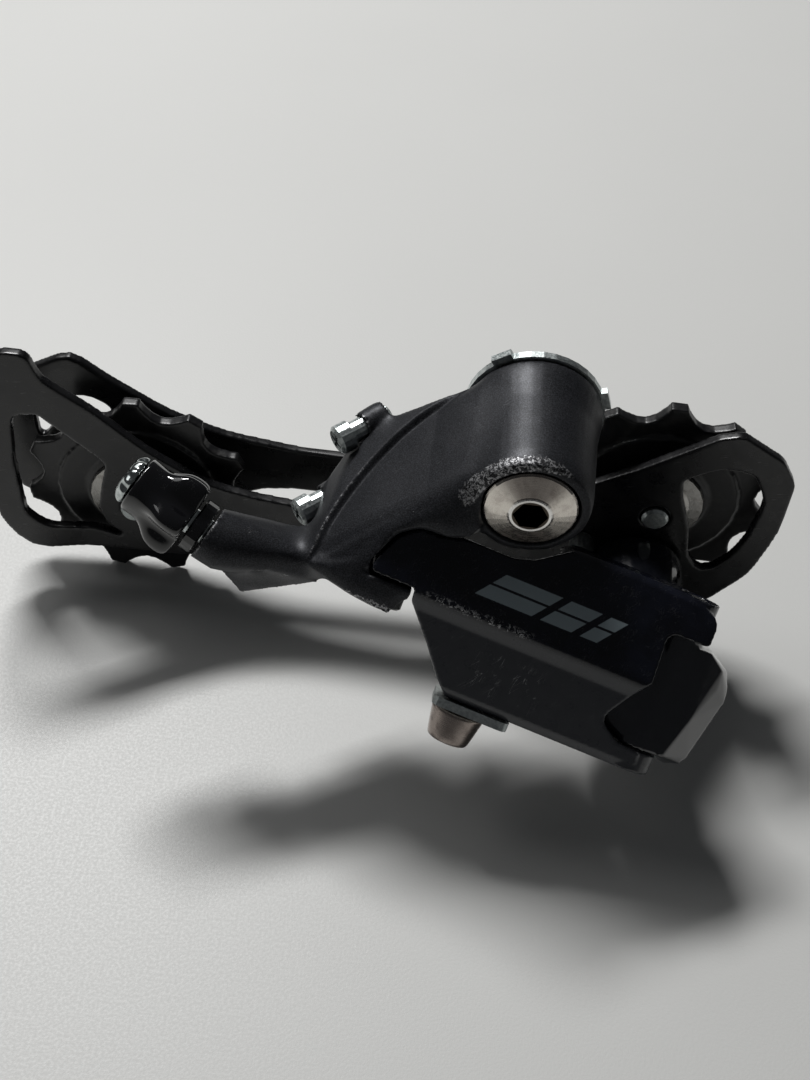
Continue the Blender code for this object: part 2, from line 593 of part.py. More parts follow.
def make_knuckle():
    """The lower knuckle: cage spring barrel, pin boss and rounded nose."""
    end = frame(P_OUTER_PIN, LINK_AXIS, LINK_DIR)
    inner = frame(P_INNER_PIN, LINK_AXIS, LINK_DIR)
    body = turned("barrel", [(0, 21.8), (8.0, 21.8), (9.2, 20.6), (9.4, 1.0), (0, 1.0)],
                  P_FRAME, 36)

    def at_pin(u, w, v):
        return link_point(LINK_LENGTH + u, w, v)

    boss = rod("boss", 4.3, -9.7, 11.6, end, steps=24)
    bridge = rim(at_pin(0, 0, 0.4), LINK_AXIS, 4.2, 12) + rim(at_pin(0, 0, 11.2), LINK_AXIS, 4.2, 12)
    bridge += rim(PIVOT_P + Vector((0, -21.2, 0)), OUTBOARD, 8.2, 10, -40, 200)
    bridge += rim(PIVOT_P + Vector((0, -12.0, 0)), OUTBOARD, 9.0, 8, -20, 130)
    nose = [at_pin(u, w, v) for u, w, v in (
        (1.0, -4.1, 9.6), (5.6, -3.2, 9.7), (8.7, -1.8, 7.5), (9.2, -1.4, 4.4), (6.8, -3.0, -2.0),
        (4.8, -3.4, -9.5), (1.0, -4.1, -9.5), (6.0, 0.0, 9.9), (10.1, 1.0, 7.4), (11.5, 1.5, 4.5),
        (11.9, 1.5, 2.3), (10.4, 1.5, -4.4), (9.7, 1.2, -9.0), (8.9, 1.0, -10.3),
        (6.2, 0.5, -11.1), (5.8, 5.0, 10.0), (9.0, 6.0, 7.0), (11.2, 6.0, 2.4), (9.8, 6.0, -5.0),
        (8.2, 5.0, -9.6), (0.8, 4.2, -9.5), (7.0, 10.0, 8.0), (9.0, 10.0, 2.0),
        (6.0, 10.0, -3.5), (1.0, 4.2, 10.0))]
    body = join(body, hull("bridge", bridge), hull("nose", nose), boss)
    strap = rim(at_pin(PIN_SPREAD_U, PIN_SPREAD_W, -7.4), LINK_AXIS, 3.9, 14)
    strap += rim(at_pin(PIN_SPREAD_U, PIN_SPREAD_W, -3.6), LINK_AXIS, 3.9, 14)
    strap += rim(at_pin(-1.7, 18.6, -7.4), LINK_AXIS, 3.4, 10)
    strap += rim(at_pin(-1.7, 18.6, -3.6), LINK_AXIS, 3.4, 10)
    body = join(body, hull("strap", strap))
    body = cut(body, rod("ear_space", 4.8, 11.75, 20, end, steps=24),
               rod("ear_space", 4.8, -20, -9.8, end, steps=24))
    body = cut(body, rod("fork_space", 4.3, -10.9, -7.5, inner, steps=20),
               rod("fork_space", 4.3, -3.5, -0.2, inner, steps=20))
    body = bore(body, end, PIN_BORE, -20, 20, 20)
    body = bore(body, inner, PIN_BORE, -12, 0, 20)
    body = bore(body, P_FRAME, 7.4, -1, 19.6, 28)
    finish(body, "knuckle_body", "satin_black_alloy", TURN_KNUCKLE)
    spring = coil("spring", 5.7, 1.6, 2.6, 18.0, 4.5, P_FRAME)
    finish(spring, "cage_spring", "spring_steel", TURN_KNUCKLE)


def plate_frame():
    """Local XY is world XZ, and local Z points outboard."""
    return B_FRAME


def make_cage():
    """Both cage plates, their pin and the pulley bolts."""
    outer = rounded([
        (-92.6, -1.9, 3), (-88.0, -1.9, 2), (-86.0, -7.2, 5), (-77.0, -13.4, 30),
        (-68.0, -21.4, 40), (-56.5, -28.4, 20), (-41.0, -31.6, 40), (-14.0, -28.0, 40),
        (13.9, -17.1, 60), (32.8, -3.2, 2), (36.8, -1.9, 2), (45.0, -6.8, 4), (48.2, -12.0, 4),
        (48.2, -24.0, 30), (45.4, -35.4, 12), (38.4, -45.0, 12), (28.0, -50.6, 8),
        (16.0, -50.2, 9), (6.0, -44.0, 14), (-20.0, -40.0, 40), (-46.0, -42.0, 30),
        (-60.0, -47.6, 10), (-80.0, -48.0, 20), (-91.5, -50.8, 6), (-96.8, -43.0, 8),
        (-98.0, -24.0, 40), (-97.2, -6.0, 8)], 2)
    left_window = rounded([
        (-92.0, -16.0, 2.2), (-87.2, -15.5, 1.2), (-75.4, -25.6, 2.5), (-76.6, -31.5, 3),
        (-77.4, -37.0, 4), (-76.0, -41.5, 3), (-71.0, -45.0, 1.2), (-78.5, -43.0, 6),
        (-88.0, -44.2, 4), (-91.6, -41.0, 3), (-92.6, -28.0, 30)], 2)
    right_window = rounded([
        (28.6, -13.6, 1.5), (34.9, -9.4, 6), (40.6, -10.6, 2.5), (44.0, -16.6, 8),
        (42.9, -25.6, 16), (41.0, -32.0, 12), (36.4, -36.8, 2.5), (33.2, -32.2, 2),
        (31.9, -25.0, 12), (29.4, -18.0, 8)], 2)
    holes = [circle((GUIDE.x, GUIDE.z), 2.7, 20), circle((TENSION.x, TENSION.z), 2.7, 20),
             circle((PIVOT_P.x, PIVOT_P.z), 3.5, 24)]
    plate = slab("plate", [outer, left_window, right_window] + holes,
                 -PLATE_OUTER_Y[1], -PLATE_OUTER_Y[0], plate_frame())
    finish(plate, "cage_outer_plate", "black_steel_plate", TURN_CAGE)

    inner = rounded([
        (-92.0, -14.6, 2), (-83.6, -9.6, 4), (-76.6, -14.8, 20), (-65.7, -21.6, 30),
        (-55.0, -25.4, 30), (-41.1, -27.3, 30), (-20.0, -27.6, 60), (4.0, -25.0, 30),
        (13.0, -13.5, 12), (25.3, -8.4, 16), (37.0, -13.5, 12), (40.0, -23.4, 14),
        (36.0, -35.0, 12), (24.0, -39.0, 14), (8.0, -37.0, 14), (-20.0, -37.2, 60),
        (-48.0, -37.4, 20), (-58.0, -44.0, 10), (-70.0, -49.2, 14), (-84.0, -47.6, 12),
        (-96.6, -46.0, 6), (-97.0, -30.0, 10), (-96.0, -20.0, 4)], 2)
    lens = rounded([(-86.4, -20.4, 1), (-80.6, -18.9, 6), (-75.2, -22.4, 2), (-79.4, -25.2, 6),
                    (-88.0, -28.0, 3), (-90.6, -32.0, 3), (-91.0, -24.0, 3)], 3)
    lower = rounded([(-89.0, -36.0, 3), (-82.5, -38.5, 3), (-79.5, -43.0, 3), (-88.0, -43.0, 3)], 3)
    plate = slab("plate", [inner, lens, lower] + holes[:2],
                 -PLATE_INNER_Y[1], -PLATE_INNER_Y[0], plate_frame())
    finish(plate, "cage_inner_plate", "black_steel_plate", TURN_CAGE)

    axle = turned("axle", [(0, 18.6), (2.6, 18.6), (3.2, 18.0), (3.2, -2.4), (3.9, -2.4),
                           (3.9, -3.4), (0, -3.4)], P_FRAME, 24)
    finish(axle, "cage_axle", "zinc_steel", TURN_CAGE)
    stop = frame(Vector((13.0, 0, -31.0)), OUTBOARD)
    pin = turned("pin", [(0, 6.4), (1.7, 6.4), (2.2, 5.9), (2.2, 0.1), (0, 0.1)], stop, 16)
    finish(pin, "cage_stop_pin", "zinc_steel", TURN_CAGE)


def tooth_outline():
    """The edge of a pulley: flat-topped teeth with a round seat between each two."""
    points = []
    pitch = math.tau / TEETH
    tip_half = 0.235 * pitch / 2
    seat_half = 0.66 * pitch / 2
    for tooth in range(TEETH):
        centre = tooth * pitch
        points += [(TIP_RADIUS, centre - tip_half), (TIP_RADIUS, centre + tip_half)]
        for step in range(5):
            share = -1 + 2 * step / 4
            depth = 1 - share * share
            radius = ROOT_RADIUS + 2.3 * (1 - depth)
            points.append((radius, centre + pitch / 2 + share * seat_half))
    return points


def make_pulley(name, centre, phase):
    """A toothed pulley with its bush, two dust caps and bolt."""
    place = frame(Vector((centre.x, PULLEY_Y, centre.z)), OUTBOARD)
    axis = pivot(name + "_axis", place, TURN_CAGE)
    outline = [(radius * math.cos(angle + phase), radius * math.sin(angle + phase))
               for radius, angle in tooth_outline()]
    wheel = slab("wheel", [outline], -1.15, 1.15, place)
    wheel = join(wheel, turned("hub", [
        (4.3, 2.2), (9.5, 2.2), (9.9, 1.8), (15.2, 1.8), (15.2, -1.8),
        (9.9, -1.8), (9.5, -2.2), (4.3, -2.2)], place, 24))
    wheel = bore(wheel, place, 4.3, -3, 3, 20)
    finish(wheel, name, "pulley_resin", axis)
    bush = ring("bush", 4.0, 2.8, -2.5, 2.5, place, 0, 20)
    finish(bush, name + "_bush", "zinc_steel", TURN_CAGE)
    for side, word in ((1, "outer"), (-1, "inner")):
        cap_place = place if side > 0 else place @ Matrix.Rotation(math.pi, 4, "X")
        cap = turned("cap", [
            (2.8, 4.1), (4.8, 4.1), (6.3, 3.4), (8.8, 3.2), (9.0, 2.6), (8.2, 2.6),
            (2.8, 2.9)], cap_place, 22)
        finish(cap, "%s_cap_%s" % (name, word), "nickel_steel", TURN_CAGE)
    bolt = turned("bolt", [
        (0, 7.2), (2.0, 7.2), (2.45, 6.7), (2.45, -6.5), (4.3, -6.5), (4.3, -8.4), (3.9, -8.8),
        (0, -8.8)], place, 20)
    key = place @ Matrix.Rotation(math.pi, 4, "X")
    bolt = socket(bolt, key, 3.0, 8.8, 2.4)
    finish(bolt, name + "_bolt", "zinc_steel", TURN_CAGE)


make_mounting_group()
make_bracket()
make_pins()
make_screws()
make_barrel()
make_outer_link()
make_inner_link()
make_knuckle()
make_cage()
make_pulley("guide_pulley", GUIDE, 1.547)
make_pulley("tension_pulley", TENSION, 1.611)
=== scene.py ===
"""The looks of the rear derailleur: cast, painted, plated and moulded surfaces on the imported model."""
import json
import math

import bmesh
import bpy
import numpy as np
from mathutils import Matrix, Vector
from mathutils.bvhtree import BVHTree


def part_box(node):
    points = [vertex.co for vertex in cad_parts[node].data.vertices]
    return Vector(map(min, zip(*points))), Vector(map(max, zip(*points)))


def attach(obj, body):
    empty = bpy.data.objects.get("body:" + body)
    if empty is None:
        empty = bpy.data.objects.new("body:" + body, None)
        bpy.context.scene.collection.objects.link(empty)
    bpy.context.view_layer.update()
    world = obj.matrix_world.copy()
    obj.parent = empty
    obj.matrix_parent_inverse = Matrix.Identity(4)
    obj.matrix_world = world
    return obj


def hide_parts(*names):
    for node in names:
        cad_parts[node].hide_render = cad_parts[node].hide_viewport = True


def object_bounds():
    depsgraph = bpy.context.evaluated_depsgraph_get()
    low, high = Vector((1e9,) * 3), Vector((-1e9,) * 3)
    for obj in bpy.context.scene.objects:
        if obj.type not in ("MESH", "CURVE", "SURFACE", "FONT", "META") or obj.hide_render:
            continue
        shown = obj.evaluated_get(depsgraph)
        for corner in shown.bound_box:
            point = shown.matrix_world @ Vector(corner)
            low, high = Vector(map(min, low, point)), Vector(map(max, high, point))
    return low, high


MM = 0.001
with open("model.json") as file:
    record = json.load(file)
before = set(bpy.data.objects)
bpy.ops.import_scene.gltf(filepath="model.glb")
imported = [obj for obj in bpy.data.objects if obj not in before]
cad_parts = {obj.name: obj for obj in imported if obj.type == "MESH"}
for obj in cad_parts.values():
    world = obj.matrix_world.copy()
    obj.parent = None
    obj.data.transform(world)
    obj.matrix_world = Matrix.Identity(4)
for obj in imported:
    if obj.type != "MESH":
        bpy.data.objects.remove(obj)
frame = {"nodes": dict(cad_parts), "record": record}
CAD_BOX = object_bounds()
nodes = frame["nodes"]
joints = {joint["name"]: joint for joint in frame["record"]["behaviour"]["joints"]}

# The links' own directions: along the outer link, inboard, and up the pins
LINK_ORIGIN = Vector(joints["outer_link_swing"]["pos_m"])
LINK_END = Vector(joints["knuckle_swing"]["pos_m"])
LINK_AXIS = Vector(joints["outer_link_swing"]["axis"])
LINK_DIR = (LINK_END - LINK_ORIGIN).normalized()
LINK_IN = LINK_AXIS.cross(LINK_DIR)

# The mounting bolt's axis, which the housing and the head are turned about
BOLT_AXIS = (0, 1, 0)
# The housing's front rim in mm: its radius and its place along the bolt
RIM_RADIUS = 10.0
RIM_ALONG = -25.1
# The way the worn part of the rim faces: up and to the rear
RIM_WORN = (-0.50, 0.0, 0.87)
# The radius in mm of the lip around the mounting bolt's socket
SOCKET_LIP = 3.4


# ---- node helpers -------------------------------------------------------------------------

class Nodes:
    """Short calls for building one node tree."""

    def __init__(self, tree):
        self.tree = tree
        self.tree.nodes.clear()

    def add(self, kind, **inputs):
        """Add a node; values are set on sockets and sockets are linked."""
        node = self.tree.nodes.new(kind)
        for name, value in inputs.items():
            self.put(node, name, value)
        return node

    def put(self, node, name, value):
        """Set or link one input, found by name or by index."""
        key = int(name[1:]) if name[0] == "i" and name[1:].isdigit() else name.replace("_", " ")
        socket = node.inputs[key]
        if isinstance(value, bpy.types.NodeSocket):
            self.tree.links.new(value, socket)
        else:
            socket.default_value = value

    def maths(self, operation, first, second=0.0, clamp=False):
        """A Math node's result."""
        node = self.add("ShaderNodeMath", i0=first, i1=second)
        node.operation = operation
        node.use_clamp = clamp
        return node.outputs[0]

    def product(self, *values):
        """All the values multiplied."""
        total = values[0]
        for value in values[1:]:
            total = self.maths("MULTIPLY", total, value)
        return total

    def hypot(self, first, second):
        """The length of a vector from its two parts."""
        squares = self.maths("ADD", self.product(first, first), self.product(second, second))
        return self.maths("SQRT", squares)

    def vector(self, operation, first, second=(0, 0, 0)):
        """A Vector Math node."""
        node = self.add("ShaderNodeVectorMath", i0=first, i1=second)
        node.operation = operation
        return node

    def place(self):
        """Position on the part, in millimetres of the part's own frame."""
        where = self.add("ShaderNodeTexCoord").outputs["Object"]
        return self.vector("MULTIPLY", where, (1000, 1000, 1000)).outputs[0]

    def noise(self, where, scale, detail=4.0, rough=0.55, distortion=0.0):
        """Noise from 0 to 1 at a scale per millimetre."""
        node = self.add("ShaderNodeTexNoise", Vector=where, Scale=scale, Detail=detail,
                        Roughness=rough, Distortion=distortion)
        return node.outputs[0]

    def ramp(self, value, low, high, first=0.0, last=1.0, smooth=True):
        """Map a range onto another, clamped."""
        node = self.add("ShaderNodeMapRange", Value=value)
        node.inputs[1].default_value = low
        node.inputs[2].default_value = high
        node.inputs[3].default_value = first
        node.inputs[4].default_value = last
        node.interpolation_type = "SMOOTHSTEP" if smooth else "LINEAR"
        node.clamp = True
        return node.outputs[0]

    def mix(self, share, first, second):
        """Blend two colours."""
        node = self.tree.nodes.new("ShaderNodeMix")
        node.data_type = "RGBA"
        for name, value in (("Factor_Float", share), ("A_Color", first), ("B_Color", second)):
            socket = next(s for s in node.inputs if s.identifier == name)
            if isinstance(value, bpy.types.NodeSocket):
                self.tree.links.new(value, socket)
            else:
                socket.default_value = value
        return next(s for s in node.outputs if s.identifier == "Result_Color")

    def ridges(self, low=0.515, high=0.56):
        """1 on the outer corners of a dense mesh, 0 on flat ground."""
        sharp = self.add("ShaderNodeNewGeometry").outputs["Pointiness"]
        return self.ramp(sharp, low, high)

    def bump(self, height, strength, distance):
        """A Bump node's normal; distance is in millimetres."""
        node = self.add("ShaderNodeBump", Strength=strength, Distance=distance * MM, Height=height)
        return node.outputs[0]


def rgb(red, green, blue):
    """A colour with full alpha."""
    return (red, green, blue, 1.0)


def shader(name, build, **constants):
    """A material whose Principled inputs come from build(nodes) and from constants."""
    made = bpy.data.materials.new(name)
    made.use_nodes = True
    tree = Nodes(made.node_tree)
    principled = tree.add("ShaderNodeBsdfPrincipled", **constants)
    for socket, value in build(tree).items():
        tree.put(principled, socket, value)
    tree.add("ShaderNodeOutputMaterial", Surface=principled.outputs[0])
    return made


def along(tree, where, direction, origin=(0, 0, 0)):
    """Distance in mm along a direction from a point given in metres."""
    relative = tree.vector("SUBTRACT", where, tuple(Vector(origin) * 1000)).outputs[0]
    return tree.vector("DOT_PRODUCT", relative, tuple(direction)).outputs["Value"]


# ---- materials ----------------------------------------------------------------------------

BARE = rgb(0.55, 0.55, 0.56)


# How far noise is drawn out along a scratch, and how thin a level line of it makes one
DRAWN_OUT = 0.96
SCRATCH_WIDTH = 0.010


def scratches(tree, where, scale, density, direction):
    """Fine scratches that run along a direction, 0 to 1."""
    run = Vector(direction).normalized()
    share = tree.vector("DOT_PRODUCT", where, tuple(run)).outputs["Value"]
    drawn = tree.add("ShaderNodeVectorMath", i0=tuple(run * DRAWN_OUT))
    drawn.operation = "SCALE"
    tree.put(drawn, "Scale", share)
    warped = tree.vector("SUBTRACT", where, drawn.outputs[0]).outputs[0]
    level = tree.maths("SUBTRACT", tree.noise(warped, scale, 2.0, 0.5, 0.1), 0.5)
    thin = tree.ramp(tree.maths("ABSOLUTE", level), 0.0, SCRATCH_WIDTH, 1.0, 0.0)
    patch = tree.ramp(tree.noise(where, 0.45, 4.0), density, density + 0.05)
    return tree.product(thin, patch)


def cast_body(tree):
    """Satin painted casting with metal flake, and paint knocked off its outer edges."""
    where = tree.place()
    flake = tree.noise(where, 5.0, 2.0, 0.7)
    broad = tree.noise(where, 0.12, 4.0)
    colour = tree.mix(tree.ramp(flake, 0.35, 0.75), rgb(0.010, 0.0105, 0.012), rgb(0.050, 0.052, 0.060))
    # worn metal on the front rim of the housing, most of it up and to the rear
    split = tree.add("ShaderNodeSeparateXYZ", Vector=where)
    x, y, z = (split.outputs[i] for i in range(3))
    chips = tree.noise(where, 1.1, 6.0, 0.7, 0.4)
    across = tree.maths("SUBTRACT", tree.hypot(x, z), RIM_RADIUS)
    off = tree.hypot(across, tree.maths("SUBTRACT", y, RIM_ALONG))
    reach = tree.product(tree.ramp(along(tree, where, RIM_WORN), 1.0, 8.5, 0.0, 3.4), chips)
    rim = tree.ramp(tree.maths("SUBTRACT", reach, off), -0.1, 0.15)
    # the foot's worn lower edge, and the ridge above the cable arm
    ragged = tree.maths("SUBTRACT", along(tree, where, LINK_AXIS, LINK_ORIGIN), tree.product(chips, 2.6))
    foot = tree.product(tree.ramp(ragged, -4.35, -4.55),
                        tree.ramp(along(tree, where, LINK_IN, LINK_ORIGIN), -4.2, -5.6),
                        tree.ramp(along(tree, where, LINK_DIR, LINK_ORIGIN), -9.0, -6.5))
    rear = tree.product(tree.ridges(), tree.ramp(x, -25.0, -30.0), tree.ramp(chips, 0.47, 0.54))
    specks = tree.product(tree.ramp(tree.noise(where, 1.6, 2.0), 0.76, 0.79), 0.6)
    worn = tree.maths("MAXIMUM", foot, rear)
    bare = tree.maths("MAXIMUM", tree.maths("MAXIMUM", rim, worn), specks, clamp=True)
    lines = scratches(tree, where, 1.2, 0.58, (1.0, 0.3, 0.5))
    colour = tree.mix(tree.product(lines, 0.35), colour, rgb(0.16, 0.16, 0.17))
    rough = tree.maths("ADD", tree.ramp(broad, 0.3, 0.7, 0.40, 0.50), tree.product(bare, 0.06))
    torn = tree.noise(where, 1.9, 4.0, 0.7, 0.8)
    height = tree.maths("SUBTRACT", tree.product(flake, 0.25), bare)
    height = tree.maths("ADD", height, tree.product(torn, bare, 2.2))
    metal = tree.mix(tree.ramp(torn, 0.45, 0.60), rgb(0.030, 0.030, 0.032), rgb(0.45, 0.45, 0.46))
    return {"Base_Color": tree.mix(bare, colour, metal), "Metallic": tree.ramp(bare, 0.0, 1.0, 0.4, 0.9),
            "Roughness": rough, "Normal": tree.bump(height, 0.45, 0.08)}


def gloss_nose(tree):
    """Deep gloss paint on the knuckle, nicked on its corners."""
    where = tree.place()
    chips = tree.noise(where, 1.2, 6.0, 0.7, 0.3)
    bare = tree.maths("MULTIPLY", tree.ridges(0.54, 0.62), tree.ramp(chips, 0.58, 0.64), clamp=True)
    base = tree.mix(tree.ramp(chips, 0.3, 0.7), rgb(0.006, 0.007, 0.010), rgb(0.013, 0.014, 0.019))
    rough = tree.ramp(tree.noise(where, 0.5, 5.0), 0.3, 0.75, 0.14, 0.26)
    height = tree.maths("SUBTRACT", tree.product(tree.noise(where, 0.9, 2.0), 0.15), bare)
    return {"Base_Color": tree.mix(bare, base, BARE), "Metallic": tree.product(bare, 0.9),
            "Roughness": rough, "Normal": tree.bump(height, 0.3, 0.05)}


def gloss_link(tree):
    """Deep gloss paint over the link, rubbed through along the ridge, with three plain bars, and its
    lower face painted lighter as a painted reflection of the floor.
    """
    where = tree.place()
    u = along(tree, where, LINK_DIR, LINK_ORIGIN)
    v = along(tree, where, LINK_AXIS, LINK_ORIGIN)
    w = along(tree, where, LINK_IN, LINK_ORIGIN)
    base = tree.mix(tree.ramp(tree.noise(where, 0.2, 3.0), 0.3, 0.7), rgb(0.003, 0.0035, 0.006),
                    rgb(0.006, 0.007, 0.013))
    # the lower face below the ridge is painted lighter: a painted reflection of the pale floor
    low = tree.ramp(v, 1.2, -0.2)
    base = tree.mix(low, base, rgb(0.050, 0.052, 0.058))
    chips = tree.noise(where, 1.4, 6.0, 0.75, 0.5)
    ridge = tree.product(tree.ramp(v, 0.5, 1.3), tree.ramp(v, 2.4, 1.7), tree.ramp(w, -5.6, -6.6),
                         tree.ramp(u, 25.0, 21.0), tree.ramp(u, 3.5, 8.0), tree.ramp(chips, 0.52, 0.60))
    edge = tree.product(tree.ridges(0.53, 0.58), tree.ramp(chips, 0.56, 0.62))
    patch = tree.product(tree.ramp(u, 15.0, 18.0), tree.ramp(u, 30.0, 26.0),
                         tree.ramp(v, -12.0, -9.0), tree.ramp(v, -3.0, -5.0))
    lines = tree.maths("MAXIMUM", scratches(tree, where, 1.3, 0.50, (0.8, 0.3, 0.6)),
                       scratches(tree, where, 1.5, 0.52, (0.4, 0.6, 0.9)))
    rubbed = tree.product(lines, tree.maths("ADD", tree.product(patch, 0.7), 0.05))
    bare = tree.maths("MAXIMUM", tree.maths("MAXIMUM", ridge, edge), rubbed, clamp=True)
    # plain slanted bars in grey on the upper face, split in two along their middle
    def band(value, start, end, soft):
        """1 between two places, with soft ends."""
        return tree.product(tree.ramp(value, start, start + soft, smooth=False),
                            tree.ramp(value, end, end - soft, smooth=False))

    slant = tree.maths("SUBTRACT", u, tree.product(v, 0.8))
    bars = 0.0
    for start, end in ((8.5, 18.5), (20.0, 25.5), (27.0, 30.0)):
        bars = tree.maths("MAXIMUM", bars, band(slant, start, end + 0.15, 0.15))
    gap = tree.maths("SUBTRACT", 1.0, band(v, 6.85, 7.35, 0.1))
    front = tree.ramp(w, -4.4, -4.6, smooth=False)
    bars = tree.product(bars, band(v, 4.6, 9.4, 0.15), front, gap)
    colour = tree.mix(tree.product(bars, 0.85), base, rgb(0.30, 0.36, 0.39))
    rough = tree.maths("ADD", tree.ramp(tree.noise(where, 0.5, 5.0), 0.3, 0.75, 0.16, 0.30),
                       tree.product(bars, 0.12))
    rough = tree.maths("ADD", rough, tree.product(low, 0.10))
    height = tree.maths("SUBTRACT", tree.product(tree.noise(where, 0.9, 2.0), 0.15), bare)
    return {"Base_Color": tree.mix(bare, colour, BARE), "Metallic": tree.product(bare, 0.9),
            "Roughness": rough, "Normal": tree.bump(height, 0.3, 0.05)}


def black_plate(tree):
    """Painted pressed steel, satin, with bright nicks on its cut edges."""
    where = tree.place()
    chips = tree.noise(where, 0.9, 5.0, 0.7, 0.3)
    edge = tree.product(tree.ridges(0.54, 0.62), tree.ramp(chips, 0.58, 0.66))
    lines = tree.product(scratches(tree, where, 0.9, 0.56, (1.0, 0.0, 0.25)), 0.22)
    bare = tree.maths("MAXIMUM", edge, lines, clamp=True)
    base = tree.mix(tree.ramp(tree.noise(where, 0.08, 4.0), 0.3, 0.7), rgb(0.003, 0.003, 0.0035),
                    rgb(0.009, 0.009, 0.010))
    rough = tree.ramp(tree.noise(where, 0.25, 5.0), 0.3, 0.75, 0.24, 0.40)
    height = tree.maths("SUBTRACT", tree.product(tree.noise(where, 1.8, 3.0), 0.2), bare)
    return {"Base_Color": tree.mix(bare, base, rgb(0.38, 0.38, 0.38)),
            "Metallic": tree.product(bare, 0.9), "Roughness": rough,
            "Normal": tree.bump(height, 0.25, 0.04)}


def zinc(smooth, dull):
    """Bright zinc plate with a faint crystalline mottle, between two roughnesses."""
    def build(tree):
        where = tree.place()
        mottle = tree.noise(where, 1.5, 5.0, 0.6)
        colour = tree.mix(tree.ramp(mottle, 0.3, 0.7), rgb(0.42, 0.46, 0.46), rgb(0.66, 0.70, 0.69))
        rough = tree.ramp(tree.noise(where, 3.0, 3.0), 0.3, 0.7, smooth, dull)
        return {"Base_Color": colour, "Roughness": rough, "Normal": tree.bump(mottle, 0.2, 0.05)}
    return build


def turned_nickel(axis, origin, colour, tint, socket=0.0):
    """Lathe-turned plated steel with rings about an axis; around a socket a bright lip, with painted
    shade inside it and above and below it.
    """
    def build(tree):
        where = tree.place()
        relative = tree.vector("SUBTRACT", where, tuple(Vector(origin) * 1000)).outputs[0]
        lift = tree.vector("DOT_PRODUCT", relative, tuple(axis)).outputs["Value"]
        cross = tree.vector("CROSS_PRODUCT", relative, tuple(axis)).outputs[0]
        radius = tree.vector("LENGTH", cross).outputs["Value"]
        turn = tree.add("ShaderNodeCombineXYZ", X=radius, Y=lift, Z=0.0)
        outward = tree.vector("CROSS_PRODUCT", tuple(axis), cross).outputs[0]
        radial = tree.add("ShaderNodeVectorTransform", Vector=outward)
        radial.vector_type, radial.convert_from, radial.convert_to = "VECTOR", "OBJECT", "WORLD"
        tangent = tree.vector("NORMALIZE", radial.outputs[0]).outputs[0]
        rings = tree.noise(turn.outputs[0], 9.0, 3.0, 0.6)
        stain = tree.ramp(tree.noise(where, 0.6, 5.0, 0.6), 0.42, 0.72)
        rough = tree.maths("ADD", tree.ramp(rings, 0.3, 0.7, 0.17, 0.29), tree.product(stain, 0.10))
        height = tree.maths("ADD", rings, tree.product(tree.noise(where, 3.0, 3.0), 0.2))
        shade = tree.mix(tree.product(stain, 0.5), colour, tint)
        if socket:
            # painted shade above and below the socket: the head is darkened there to stand in for the
            # bow-tie reflection of turned metal
            rise = tree.maths("ABSOLUTE", along(tree, where, (0, 0, 1), origin))
            painted_bow_tie_shade = tree.ramp(tree.maths("DIVIDE", rise, radius), 0.50, 0.92, 0.0, 0.72)
            shade = tree.mix(painted_bow_tie_shade, shade, rgb(0.13, 0.105, 0.095))
            lip = tree.product(tree.ramp(radius, socket - 0.45, socket - 0.35),
                               tree.ramp(radius, socket + 0.25, socket + 0.1))
            shade = tree.mix(lip, shade, rgb(0.92, 0.90, 0.87))
            # inside the lip the socket is painted near black: painted shade in the recess
            shade = tree.mix(tree.ramp(radius, socket - 0.35, socket - 0.5), shade, rgb(0.06, 0.05, 0.04))
        return {"Base_Color": shade, "Roughness": rough, "Tangent": tangent,
                "Normal": tree.bump(height, 0.25, 0.03)}
    return build


def resin(tree):
    """Moulded glass-filled resin with a fine grain, lighter and duller where dust lies."""
    where = tree.place()
    grain = tree.noise(where, 4.0, 3.0, 0.6)
    dust = tree.ramp(tree.noise(where, 0.35, 5.0, 0.65), 0.45, 0.75)
    colour = tree.mix(dust, rgb(0.006, 0.006, 0.007), rgb(0.022, 0.021, 0.020))
    rough = tree.maths("ADD", tree.ramp(grain, 0.3, 0.7, 0.28, 0.40), tree.product(dust, 0.12))
    return {"Base_Color": colour, "Roughness": rough, "Normal": tree.bump(grain, 0.25, 0.05)}


def gloss_plastic(tree):
    """Polished moulded plastic with hair scratches."""
    where = tree.place()
    lines = tree.product(scratches(tree, where, 1.6, 0.56, (0.3, 0.2, 1.0)), 0.4)
    rough = tree.maths("ADD", tree.ramp(tree.noise(where, 0.7, 3.0), 0.3, 0.7, 0.05, 0.12), lines)
    return {"Base_Color": tree.mix(lines, rgb(0.005, 0.005, 0.006), rgb(0.08, 0.08, 0.08)),
            "Roughness": rough, "Normal": tree.bump(tree.noise(where, 0.5, 2.0), 0.05, 0.05)}


def spring_wire(tree):
    """Drawn and hardened wire, oily grey."""
    where = tree.place()
    shade = tree.noise(where, 0.8, 4.0)
    return {"Base_Color": tree.mix(shade, rgb(0.16, 0.16, 0.165), rgb(0.34, 0.34, 0.34)),
            "Roughness": tree.ramp(shade, 0.3, 0.7, 0.25, 0.42),
            "Normal": tree.bump(tree.noise(where, 5.0, 2.0), 0.1, 0.03)}


def dull_rubber(tree):
    """Soft black rubber."""
    where = tree.place()
    grain = tree.noise(where, 4.0, 3.0)
    return {"Base_Color": tree.mix(grain, rgb(0.010, 0.006, 0.006), rgb(0.03, 0.016, 0.014)),
            "Roughness": tree.ramp(grain, 0.3, 0.7, 0.5, 0.7), "Normal": tree.bump(grain, 0.2, 0.05)}


